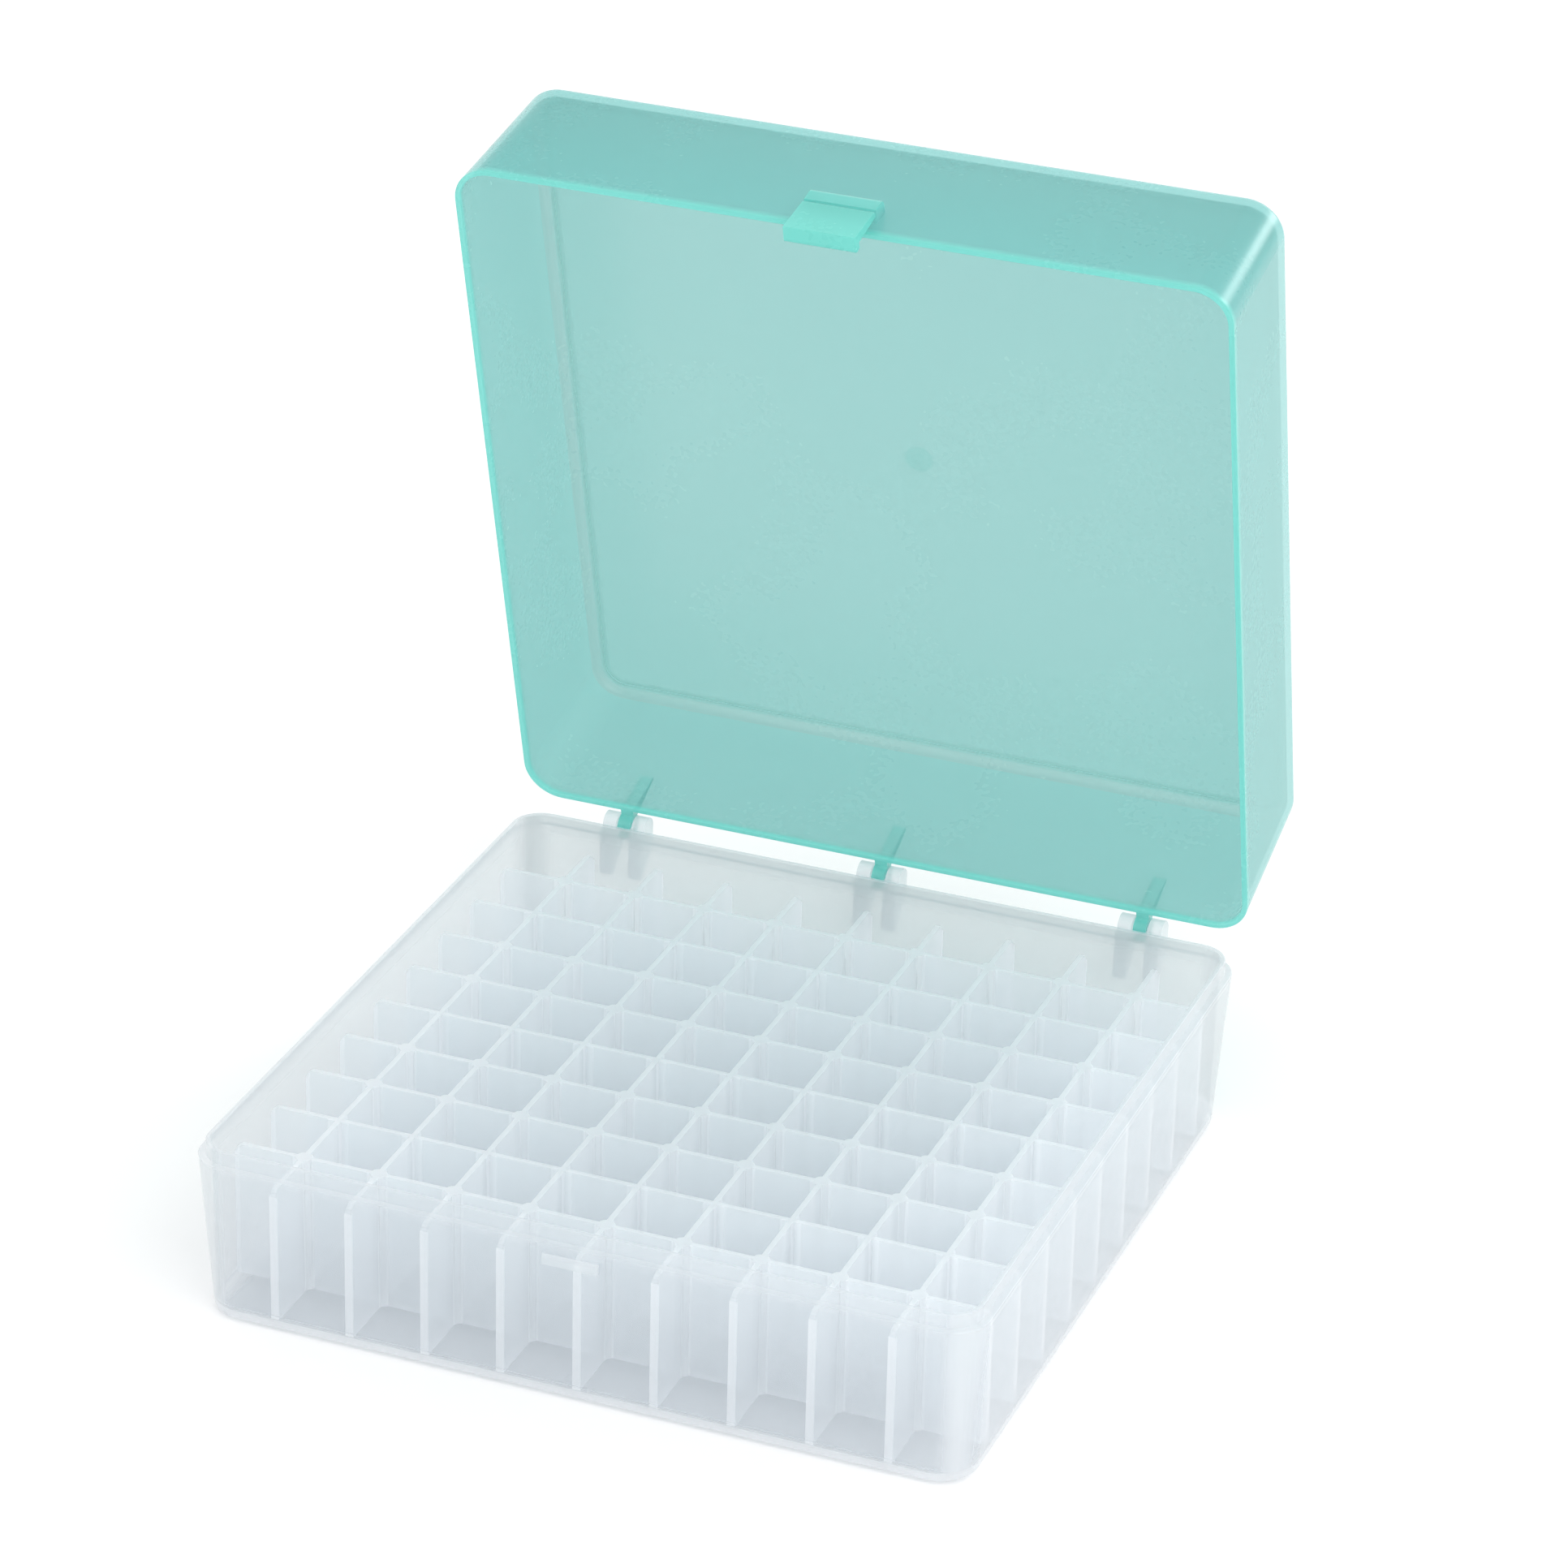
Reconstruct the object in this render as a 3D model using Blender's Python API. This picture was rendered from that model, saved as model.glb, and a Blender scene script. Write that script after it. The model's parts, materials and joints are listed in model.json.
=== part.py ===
"""Cryogenic storage box: a frosted tray with a ten by ten grid and a hinged teal lid.

The box stands open. Metres, +Z up, origin at the centre of the tray's flat underside,
+X to the right along the front wall and +Y towards the hinges.
The tray, its grid of dividers and its hinge ears are one polypropylene moulding, and the
lid, its three hinge clips and its latch tongue are the other. The grid is drawn as
strips that lap each other at half height and as rows of round posts astride the
crossings, so that every well stays open.
"""

import math

import bmesh
import bpy
from mathutils import Matrix, Vector

MM = 0.001

# Grid: ten wells each way for tubes up to 12.5 mm
PITCH = 13.8 * MM
WELLS = 10
DIVIDER_THICKNESS = 1.3 * MM
DIVIDER_TOP = 26.9 * MM
LAP_GAP = 1.2 * MM                      # between the dividers' halves at a crossing
POST_RADIUS = 1.65 * MM
POST_SIDES = 12
POST_SEAM = 0.15 * MM                   # hairline where a post meets its divider
RUNNER_HEIGHT = 0.9 * MM                # strip on the floor that a row of posts stands on
POST_ROWS = (1, 3, 4, 6, 7, 9)          # counted from the back; the other rows have none

# Tray
TRAY_HALF = (70.4 * MM, 69.9 * MM)      # outside, at the shoulder
TRAY_DRAFT = 1.7 * MM                   # how much narrower each side is at the bottom
SHOULDER_Z = 30.2 * MM
LIP_HEIGHT = 2.5 * MM
LEDGE = 1.3 * MM                        # flat shoulder that the lid closes down on
LIP_THICKNESS = 0.9 * MM
INNER_DRAFT = 0.3 * MM
FLOOR = 1.6 * MM
TRAY_CORNER = 7.0 * MM
BOTTOM_EDGE = 1.5 * MM

# Lid, in its closed place
LID_HEIGHT = 32.2 * MM
LID_WALL = 1.0 * MM
LID_TOP = 1.5 * MM
LID_SIDE_DRAFT = 0.8 * MM
LID_FRONT_DRAFT = 2.4 * MM
LID_BACK_DRAFT = 0.7 * MM
LID_TOP_EDGE = 2.6 * MM
LID_OPEN_DEG = 76.0                     # how far the lid stands open

# Hinges: a clip on the lid snaps over a bar between two ears of the tray
HINGE_X = (-50.4 * MM, 0.0, 50.4 * MM)
HINGE_NAMES = ("left", "middle", "right")
HINGE_BEHIND = 3.6 * MM                 # axis behind the tray's back face
HINGE_ABOVE = 0.4 * MM                  # axis above the shoulder
BAR_RADIUS = 1.2 * MM
CLIP_BORE = 1.42 * MM
CLIP_RADIUS = 2.4 * MM
CLIP_MOUTH_DEG = 76.0
CLIP_WIDTH = 2.4 * MM
EAR_WIDTH = 2.6 * MM
EAR_RADIUS = 2.3 * MM
EAR_ROOT_DROP = 9.0 * MM                # how far the ear runs down the back wall
WEB_RISE = 8.0 * MM                     # how far the clip's web runs up the lid

# Latch: a tongue on the lid that hooks under a ridge on the tray
LATCH_WIDTH = 13.0 * MM
LATCH_THICKNESS = 1.3 * MM
LATCH_BELOW = 6.3 * MM                  # below the lid's rim
LATCH_ROOT = (3.6 * MM, 7.6 * MM)       # root block above the rim
LATCH_STANDOFF = 1.2 * MM               # between the lid's front face and the tongue
HOOK_HEIGHT = 2.0 * MM
GROOVE = (0.4 * MM, 0.6 * MM)           # web left at the top of the tongue, and slope beside it
CATCH_WIDTH = 10.0 * MM
CATCH_PROUD = 0.95 * MM
CATCH_Z = (26.6 * MM, 28.5 * MM)

GAP = 0.3 * MM                          # between separate pieces that touch
CORNER_STEPS = 6
ROUND_STEPS = 16

CLEAR_PP = ((0.80, 0.84, 0.87, 1.0), 0.38)
TEAL_PP = ((0.32, 0.72, 0.68, 1.0), 0.32)


def clear_scene():
    """Start from an empty scene."""
    for old in list(bpy.data.objects):
        bpy.data.objects.remove(old, do_unlink=True)


def material(name, finish):
    """A Principled material of one colour and roughness."""
    colour, roughness = finish
    made = bpy.data.materials.new(name)
    made.use_nodes = True
    shader = made.node_tree.nodes["Principled BSDF"]
    shader.inputs["Base Color"].default_value = colour
    shader.inputs["Roughness"].default_value = roughness
    shader.inputs["Metallic"].default_value = 0.0
    return made


def add_object(name, mesh, finish, parent=None):
    """Link a mesh as a named object with its own material."""
    made = bpy.data.objects.new(name, mesh)
    bpy.context.collection.objects.link(made)
    mesh.materials.append(material(name, finish))
    made.parent = parent
    return made


def mesh_from(bm, name, smooth_angle=None):
    """Turn a bmesh into a mesh with its faces pointing out."""
    bmesh.ops.remove_doubles(bm, verts=bm.verts, dist=1e-6)
    bmesh.ops.recalc_face_normals(bm, faces=bm.faces)
    mesh = bpy.data.meshes.new(name)
    bm.to_mesh(mesh)
    bm.free()
    if smooth_angle is not None:
        mesh.shade_smooth()
        mesh.set_sharp_from_angle(angle=math.radians(smooth_angle))
    return mesh


def rounded_rectangle(x_low, x_high, y_low, y_high, radius, z):
    """Points round a rectangle with round corners, anticlockwise from above."""
    centres = (
        (x_high - radius, y_low + radius, -90.0),
        (x_high - radius, y_high - radius, 0.0),
        (x_low + radius, y_high - radius, 90.0),
        (x_low + radius, y_low + radius, 180.0),
    )
    points = []
    for centre_x, centre_y, start in centres:
        for step in range(CORNER_STEPS + 1):
            turn = math.radians(start + 90.0 * step / CORNER_STEPS)
            points.append(Vector((
                centre_x + radius * math.cos(turn),
                centre_y + radius * math.sin(turn),
                z,
            )))
    return points


def shell_from_loops(loops, name):
    """Skin a closed shell over loops of points, and cap the first and the last."""
    bm = bmesh.new()
    rings = [[bm.verts.new(point) for point in loop] for loop in loops]
    count = len(rings[0])
    for lower, upper in zip(rings, rings[1:]):
        for index in range(count):
            after = (index + 1) % count
            bm.faces.new((lower[index], lower[after], upper[after], upper[index]))
    bm.faces.new(list(reversed(rings[0])))
    bm.faces.new(rings[-1])
    return mesh_from(bm, name, smooth_angle=35.0)


def extruded_profile(profile, x_low, x_high, name, smooth_angle=30.0):
    """Extrude an outline of (y, z) points along X."""
    bm = bmesh.new()
    left = [bm.verts.new((x_low, y, z)) for y, z in profile]
    bm.faces.new(left)
    grown = bmesh.ops.extrude_face_region(bm, geom=bm.faces[:])
    moved = [item for item in grown["geom"] if isinstance(item, bmesh.types.BMVert)]
    bmesh.ops.translate(bm, verts=moved, vec=(x_high - x_low, 0.0, 0.0))
    return mesh_from(bm, name, smooth_angle)


def arc(radius, start_deg, end_deg, steps, centre=(0.0, 0.0)):
    """Points (y, z) along an arc."""
    points = []
    for step in range(steps + 1):
        turn = math.radians(start_deg + (end_deg - start_deg) * step / steps)
        points.append((centre[0] + radius * math.cos(turn), centre[1] + radius * math.sin(turn)))
    return points


def helper(name, mesh):
    """An object that only shapes another one."""
    made = bpy.data.objects.new(name, mesh)
    bpy.context.collection.objects.link(made)
    made.hide_render = True
    made.display_type = "WIRE"
    return made


def apply_boolean(target, tools, operation):
    """Join or cut a target with helper objects, and remove the helpers."""
    for tool in tools:
        modifier = target.modifiers.new(operation.lower(), "BOOLEAN")
        modifier.object = tool
        modifier.operation = operation
        modifier.solver = "EXACT"
    depsgraph = bpy.context.evaluated_depsgraph_get()
    shaped = bpy.data.meshes.new_from_object(target.evaluated_get(depsgraph))
    target.modifiers.clear()
    old = target.data
    target.data = shaped
    bpy.data.meshes.remove(old)
    for tool in tools:
        bpy.data.objects.remove(tool, do_unlink=True)


def wall_half(axis, height):
    """Half of the tray's outside size along X (0) or Y (1) at a height."""
    return TRAY_HALF[axis] - TRAY_DRAFT * (1.0 - height / SHOULDER_Z)


def inner_half(axis, height):
    """Half of the tray's inside size along X (0) or Y (1) at a height."""
    lip_top = SHOULDER_Z + LIP_HEIGHT
    top = TRAY_HALF[axis] - LEDGE - LIP_THICKNESS
    return top - INNER_DRAFT * (lip_top - height) / (lip_top - FLOOR)


def tray_loop(half_x, half_y, radius, z):
    """One loop of the tray's wall, centred on the origin."""
    return rounded_rectangle(-half_x, half_x, -half_y, half_y, radius, z)


def tray_shell():
    """Floor, drafted walls, shoulder and lip."""
    lip_top = SHOULDER_Z + LIP_HEIGHT
    loops = []
    for turn in (0.0, 30.0, 60.0, 90.0):
        inset = BOTTOM_EDGE * (1.0 - math.sin(math.radians(turn)))
        z = BOTTOM_EDGE * (1.0 - math.cos(math.radians(turn)))
        loops.append(tray_loop(
            wall_half(0, z) - inset, wall_half(1, z) - inset, TRAY_CORNER - inset, z))
    loops.append(tray_loop(*TRAY_HALF, TRAY_CORNER, SHOULDER_Z))
    lip = [half - LEDGE for half in TRAY_HALF]
    lip_corner = TRAY_CORNER - LEDGE
    loops.append(tray_loop(*lip, lip_corner, SHOULDER_Z))
    edge = LIP_THICKNESS * 0.25
    loops.append(tray_loop(*lip, lip_corner, lip_top - edge))
    loops.append(tray_loop(lip[0] - edge, lip[1] - edge, lip_corner - edge, lip_top))
    inner_corner = lip_corner - LIP_THICKNESS
    for inset, z in ((edge, lip_top), (0.0, lip_top - edge), (0.0, FLOOR)):
        loops.append(tray_loop(
            inner_half(0, z) + inset, inner_half(1, z) + inset, inner_corner + inset, z))
    return shell_from_loops(loops, "tray")


def hinge_axis():
    """The hinge axis as a (y, z) point."""
    return TRAY_HALF[1] + HINGE_BEHIND, SHOULDER_Z + HINGE_ABOVE


def ear_profile():
    """Side of one ear: round over the bar, with a web that fades down the back wall."""
    axis_y, axis_z = hinge_axis()
    root_z = axis_z - EAR_ROOT_DROP
    inside = 0.6 * MM
    profile = arc(EAR_RADIUS, -30.0, 150.0, ROUND_STEPS, (axis_y, axis_z))
    front_y = TRAY_HALF[1] + GAP
    profile.append((front_y, axis_z))
    profile.append((front_y, SHOULDER_Z - GAP))
    profile.append((wall_half(1, SHOULDER_Z - GAP) - inside, SHOULDER_Z - GAP))
    profile.append((wall_half(1, root_z) - inside, root_z))
    profile.append((wall_half(1, root_z) + 0.4 * MM, root_z))
    return profile


def catch_profile():
    """Side of the latch catch: sloped on top, flat underneath."""
    low, high = CATCH_Z
    inside = 0.6 * MM
    front_low = -wall_half(1, low)
    front_high = -wall_half(1, high)
    return [
        (front_high + inside, high),
        (front_high, high),
        (front_low - CATCH_PROUD, low + 0.6 * MM),
        (front_low - CATCH_PROUD, low),
        (front_low + inside, low),
    ]


def build_tray():
    """The tray with its ears, hinge bars and latch catch, as one moulding."""
    tray = add_object("tray", tray_shell(), CLEAR_PP)
    tools = []
    axis_y, axis_z = hinge_axis()
    half_gap = CLIP_WIDTH / 2 + 0.35 * MM
    for centre_x, side in zip(HINGE_X, HINGE_NAMES):
        for sign in (-1, 1):
            ends = sorted((centre_x + sign * half_gap, centre_x + sign * (half_gap + EAR_WIDTH)))
            ear = extruded_profile(ear_profile(), *ends, f"{side}_ear")
            tools.append(helper(f"{side}_ear", ear))
        reach = half_gap + EAR_WIDTH / 2
        bar = extruded_profile(
            arc(BAR_RADIUS, 0.0, 360.0 * (ROUND_STEPS - 1) / ROUND_STEPS, ROUND_STEPS - 1,
                (axis_y, axis_z)),
            centre_x - reach, centre_x + reach, f"{side}_bar")
        tools.append(helper(f"{side}_bar", bar))
    catch = extruded_profile(catch_profile(), -CATCH_WIDTH / 2, CATCH_WIDTH / 2, "catch")
    tools.append(helper("catch", catch))
    apply_boolean(tray, tools, "UNION")
    return tray


def lid_loop(inset, radius, rise):
    """One loop of the lid at a height above its rim, with the walls' draft taken off."""
    part = rise / LID_HEIGHT
    half_x = TRAY_HALF[0] - LID_SIDE_DRAFT * part - inset
    back = TRAY_HALF[1] - LID_BACK_DRAFT * part - inset
    front = -TRAY_HALF[1] + LID_FRONT_DRAFT * part + inset
    z = SHOULDER_Z + GAP + rise
    return rounded_rectangle(-half_x, half_x, front, back, radius, z)


def lid_shell():
    """The lid's drafted walls and flat top, closed on the tray, open underneath."""
    corner = TRAY_CORNER
    loops = [lid_loop(0.0, corner, 0.0)]
    for turn in (0.0, 22.5, 45.0, 67.5, 90.0):
        inset = LID_TOP_EDGE * (1.0 - math.cos(math.radians(turn)))
        rise = LID_HEIGHT - LID_TOP_EDGE * (1.0 - math.sin(math.radians(turn)))
        loops.append(lid_loop(inset, corner - inset, rise))
    outer = loops[::-1]
    inner_edge = LID_TOP_EDGE - LID_WALL
    inner_corner = corner - LID_WALL
    inner = [lid_loop(LID_WALL, inner_corner, 0.0)]
    for turn in (0.0, 30.0, 60.0, 90.0):
        inset = inner_edge * (1.0 - math.cos(math.radians(turn)))
        rise = LID_HEIGHT - LID_TOP - inner_edge * (1.0 - math.sin(math.radians(turn)))
        inner.append(lid_loop(LID_WALL + inset, inner_corner - inset, rise))
    return shell_from_loops(outer + inner, "lid")


def clip_profile():
    """Side of one clip: an arm from the lid's back wall that ends in an open ring."""
    axis_y, axis_z = hinge_axis()
    start = -90.0 + CLIP_MOUTH_DEG / 2
    outer = arc(CLIP_RADIUS, start, 115.0, ROUND_STEPS, (axis_y, axis_z))
    back_face = TRAY_HALF[1]
    inside = 0.6 * MM
    web_top = SHOULDER_Z + GAP + CLIP_RADIUS + WEB_RISE
    face_at_top = back_face - LID_BACK_DRAFT * (web_top - SHOULDER_Z) / LID_HEIGHT
    arm = [
        (face_at_top + 0.5 * MM, web_top),
        (face_at_top - inside, web_top),
        (back_face - inside, SHOULDER_Z + GAP),
        (back_face, SHOULDER_Z + GAP),
    ]
    under = arc(CLIP_RADIUS, 200.0, 270.0 - CLIP_MOUTH_DEG / 2, 4, (axis_y, axis_z))
    bore = arc(CLIP_BORE, 270.0 - CLIP_MOUTH_DEG / 2, start, ROUND_STEPS, (axis_y, axis_z))
    return outer + arm + under + bore


def latch_root_profile():
    """Side of the block on the lid that carries the latch tongue."""
    low, high = (SHOULDER_Z + GAP + level for level in LATCH_ROOT)
    front = -TRAY_HALF[1]
    draft = LID_FRONT_DRAFT / LID_HEIGHT
    inside = 0.6 * MM
    outer = front - LATCH_STANDOFF - LATCH_THICKNESS
    return [
        (front + draft * LATCH_ROOT[0] + inside, low),
        (outer, low),
        (outer, high - 1.8 * MM),
        (outer + 0.5 * MM, high - 0.6 * MM),
        (outer + 1.4 * MM, high),
        (front + draft * LATCH_ROOT[1] + inside, high),
    ]


def build_lid(pivot):
    """The lid with its clips and its latch root, as one moulding."""
    lid = add_object("lid", lid_shell(), TEAL_PP)
    tools = []
    for centre_x, side in zip(HINGE_X, HINGE_NAMES):
        clip = extruded_profile(
            clip_profile(), centre_x - CLIP_WIDTH / 2, centre_x + CLIP_WIDTH / 2, f"{side}_clip")
        tools.append(helper(f"{side}_clip", clip))
    root = extruded_profile(
        latch_root_profile(), -LATCH_WIDTH / 2, LATCH_WIDTH / 2, "latch_root")
    tools.append(helper("latch_root", root))
    apply_boolean(lid, tools, "UNION")
    place_on_pivot(lid, pivot)
    return lid


def latch_profile():
    """Side of the latch tongue: a flat arm with a hook inside and a lifting edge outside."""
    top = SHOULDER_Z + GAP + LATCH_ROOT[0] - GAP
    low = SHOULDER_Z + GAP - LATCH_BELOW
    inner = -TRAY_HALF[1] - LATCH_STANDOFF
    outer = inner - LATCH_THICKNESS
    nose = -wall_half(1, low) - 0.35 * MM
    hook_top = low + HOOK_HEIGHT
    return [
        (inner, top),
        (inner - GROOVE[0], top),
        (outer, top - GROOVE[1]),
        (outer - 0.1 * MM, top - 3.0 * MM),
        (outer - 0.3 * MM, hook_top),
        (outer - 1.0 * MM, low),
        (inner - 0.4 * MM, low),
        (nose, low + 0.9 * MM),
        (nose, hook_top - 0.05 * MM),
        (inner, hook_top),
    ]


def build_latch(pivot):
    """The latch tongue, which bends outwards at the groove under its root."""
    mesh = extruded_profile(latch_profile(), -LATCH_WIDTH / 2, LATCH_WIDTH / 2, "latch")
    latch = add_object("latch", mesh, TEAL_PP)
    place_on_pivot(latch, pivot)
    return latch


def place_on_pivot(piece, pivot):
    """Hang a piece, modelled with the lid closed, on a pivot at its joint's axis."""
    closed = Matrix.Translation(pivot["closed_at"])
    piece.data.transform(closed.inverted())
    piece.parent = pivot


def make_pivot(name, closed_at, turn_deg=0.0, parent=None):
    """An empty on a joint's axis, placed where the closed lid has it, then turned."""
    pivot = bpy.data.objects.new(name, None)
    bpy.context.collection.objects.link(pivot)
    pivot["closed_at"] = closed_at
    if parent is None:
        pivot.location = closed_at
    else:
        pivot.parent = parent
        pivot.location = Vector(closed_at) - Vector(parent["closed_at"])
    pivot.rotation_euler.x = math.radians(turn_deg)
    return pivot


def line_position(number):
    """Where a divider stands across the grid, counted from 1."""
    return (number - WELLS / 2) * PITCH


def row_has_post(row):
    """Whether the crossings of a row, counted from the back, carry posts."""
    return row in POST_ROWS


def slot_half(row):
    """Half the width of the slots at a row's crossings, clear of a divider or a post."""
    return (POST_RADIUS if row_has_post(row) else DIVIDER_THICKNESS / 2) + GAP


def comb_profile(axis, low, slots_from_top, slot_halves):
    """Outline of a divider along its length, with half-height slots for those it crosses."""
    middle = (FLOOR + DIVIDER_TOP) / 2
    end_low = inner_half(axis, low) - GAP
    end_high = inner_half(axis, DIVIDER_TOP) - GAP
    top_round = 1.2 * MM
    bottom = [(-end_low, low)]
    top = [(end_high, DIVIDER_TOP - top_round), (end_high - top_round, DIVIDER_TOP)]
    slotted = []
    depth = middle - LAP_GAP / 2 if slots_from_top else middle + LAP_GAP / 2
    edge = DIVIDER_TOP if slots_from_top else low
    for number, half in enumerate(slot_halves, start=1):
        centre = line_position(number)
        slotted += [(centre - half, edge), (centre - half, depth),
                    (centre + half, depth), (centre + half, edge)]
    if slots_from_top:
        top += slotted[::-1]
    else:
        bottom += slotted
    bottom.append((end_low, low))
    top += [(-end_high + top_round, DIVIDER_TOP), (-end_high, DIVIDER_TOP - top_round)]
    return bottom + top


def divider_plate(axis, position, profile, name):
    """A divider of the outline given, along X (0) or Y (1), at its place across the grid."""
    half = DIVIDER_THICKNESS / 2
    mesh = extruded_profile(profile, position - half, position + half, name, smooth_angle=None)
    if axis == 0:
        swap = Matrix(((0, 1, 0, 0), (1, 0, 0, 0), (0, 0, 1, 0), (0, 0, 0, 1)))
        mesh.transform(swap)
        mesh.flip_normals()
    return mesh


def build_long_divider(column):
    """A divider from front to back, whole in its upper half."""
    halves = [slot_half(WELLS - number) for number in range(1, WELLS)]
    name = f"long_divider_{column}"
    profile = comb_profile(1, FLOOR + GAP, False, halves)
    return add_object(name, divider_plate(1, line_position(column), profile, name), CLEAR_PP)


def build_cross_divider(row):
    """A divider from side to side, whole in its lower half, above the posts' runner."""
    halves = [slot_half(row)] * (WELLS - 1)
    name = f"cross_divider_{row}"
    low = FLOOR + GAP + (RUNNER_HEIGHT + GAP if row_has_post(row) else 0.0)
    profile = comb_profile(0, low, True, halves)
    return add_object(name, divider_plate(0, -line_position(row), profile, name), CLEAR_PP)


def add_box(bm, x_ends, y_ends, z_ends):
    """Add a box between two corners."""
    size = [high - low for low, high in (x_ends, y_ends, z_ends)]
    centre = Vector([(low + high) / 2 for low, high in (x_ends, y_ends, z_ends)])
    scale = Matrix.Diagonal((*size, 1.0))
    bmesh.ops.create_cube(bm, size=1.0, matrix=Matrix.Translation(centre) @ scale)


def build_post_row(row):
    """Nine round posts on a thin runner, cut to stand astride the dividers that cross."""
    name = f"post_row_{row}"
    y = -line_position(row)
    columns = [line_position(number) for number in range(1, WELLS)]
    low = FLOOR + GAP
    middle = (FLOOR + DIVIDER_TOP) / 2
    posts = bmesh.new()
    for x in columns:
        centre = Matrix.Translation((x, y, (low + DIVIDER_TOP) / 2))
        bmesh.ops.create_cone(
            posts, cap_ends=True, segments=POST_SIDES, radius1=POST_RADIUS,
            radius2=POST_RADIUS, depth=DIVIDER_TOP - low, matrix=centre)
    row_of_posts = add_object(name, mesh_from(posts, name), CLEAR_PP)
    half = DIVIDER_THICKNESS / 2
    runner = bmesh.new()
    add_box(runner, (columns[0], columns[-1]), (y - half, y + half), (low, low + RUNNER_HEIGHT))
    apply_boolean(row_of_posts, [helper("runner", mesh_from(runner, "runner"))], "UNION")
    half += POST_SEAM
    reach = POST_RADIUS + 1.0 * MM
    cuts = bmesh.new()
    lower_cut = (low + RUNNER_HEIGHT, middle - LAP_GAP / 4)
    upper_cut = (middle + LAP_GAP / 4, DIVIDER_TOP + GAP)
    for x in columns:
        add_box(cuts, (x - reach, x + reach), (y - half, y + half), lower_cut)
        add_box(cuts, (x - half, x + half), (y - reach, y + reach), upper_cut)
    apply_boolean(row_of_posts, [helper("cuts", mesh_from(cuts, "cuts"))], "DIFFERENCE")
    return row_of_posts


def build_box():
    """Tray and grid, then the lid and its latch on their axes."""
    build_tray()
    for number in range(1, WELLS):
        build_long_divider(number)
        build_cross_divider(number)
    for row in POST_ROWS:
        build_post_row(row)
    axis_y, axis_z = hinge_axis()
    lid_pivot = make_pivot("lid_pivot", (0.0, axis_y, axis_z), -LID_OPEN_DEG)
    build_lid(lid_pivot)
    groove = (0.0, -TRAY_HALF[1] - LATCH_STANDOFF, SHOULDER_Z + GAP + LATCH_ROOT[0] - GAP / 2)
    build_latch(make_pivot("latch_pivot", groove, 0.0, lid_pivot))


def main():
    """Build the whole box."""
    clear_scene()
    build_box()


main()
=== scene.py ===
"""Studio scene of a cryogenic storage box in frosted and teal polypropylene.

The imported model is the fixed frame. The tray, its grid of wells, the hinge ears, the lid
and its latch tongue are modelled here at the frame's own sizes and ride on its bodies.
"""

from __future__ import annotations

import json
import logging
import math
from dataclasses import dataclass, replace
from enum import Enum
from typing import Callable, Iterable, Sequence

import bmesh
import bpy
from mathutils import Matrix, Vector

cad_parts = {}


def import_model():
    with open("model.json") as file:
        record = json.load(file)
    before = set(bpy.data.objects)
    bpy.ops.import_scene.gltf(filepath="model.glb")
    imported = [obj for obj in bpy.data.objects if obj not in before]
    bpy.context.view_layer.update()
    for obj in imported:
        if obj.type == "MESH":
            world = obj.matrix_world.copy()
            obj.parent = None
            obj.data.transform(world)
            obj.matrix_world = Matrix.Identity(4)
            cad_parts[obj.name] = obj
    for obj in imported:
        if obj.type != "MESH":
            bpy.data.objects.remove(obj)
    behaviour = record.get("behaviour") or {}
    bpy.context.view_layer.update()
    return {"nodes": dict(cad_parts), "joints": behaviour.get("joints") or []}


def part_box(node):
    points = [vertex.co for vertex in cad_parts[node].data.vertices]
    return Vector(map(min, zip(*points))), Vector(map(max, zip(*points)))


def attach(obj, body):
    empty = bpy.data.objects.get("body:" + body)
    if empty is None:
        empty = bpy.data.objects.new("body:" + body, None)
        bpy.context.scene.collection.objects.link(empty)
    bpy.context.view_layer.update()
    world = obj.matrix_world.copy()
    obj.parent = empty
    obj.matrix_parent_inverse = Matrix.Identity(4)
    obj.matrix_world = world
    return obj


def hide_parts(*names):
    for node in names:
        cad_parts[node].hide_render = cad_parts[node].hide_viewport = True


LOG = logging.getLogger("storage_box")
MM = 0.001
THICK = "thick"
PAINTED_SHADE = "painted_shade"

PITCH = 13.8 * MM
WELLS = 10
HALF_Y = 69.9 * MM
SHOULDER_DROP = 0.4 * MM
LIP_TOP = 32.7 * MM
FLOOR = 1.6 * MM
GRID_LIFT = 0.02 * MM
GRID_INSET = 2.4 * MM
GRID_GAP = 0.15 * MM
RIM_GAP = 0.3 * MM
LID_HEIGHT = 32.2 * MM
OPEN_DEG = 76.0
HINGE_PLACES = (-50.4 * MM, 0.0, 50.4 * MM)
EDGE_ROUND = 0.22 * MM

Colour = tuple[float, float, float]
PickRule = Callable[[Vector, Vector], bool]
PaintRule = Callable[[Vector, Vector], float]


class Body(Enum):
    """The rigid bodies of the frame."""

    TRAY = "tray"
    LID = "lid"
    LATCH = "latch"


class Axis(Enum):
    """A direction that a round bar can lie along."""

    X = 0
    Y = 1
    Z = 2


def ramp(value: float, start: float, end: float) -> float:
    """Smooth step from 0 at one value to 1 at another.

    Args:
        value: The value tested.
        start: Where the step is 0.
        end: Where the step is 1.

    Returns:
        A number from 0 to 1.
    """
    part = min(max((value - start) / (end - start), 0.0), 1.0)
    return part * part * (3.0 - 2.0 * part)


# Shader nodes


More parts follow.
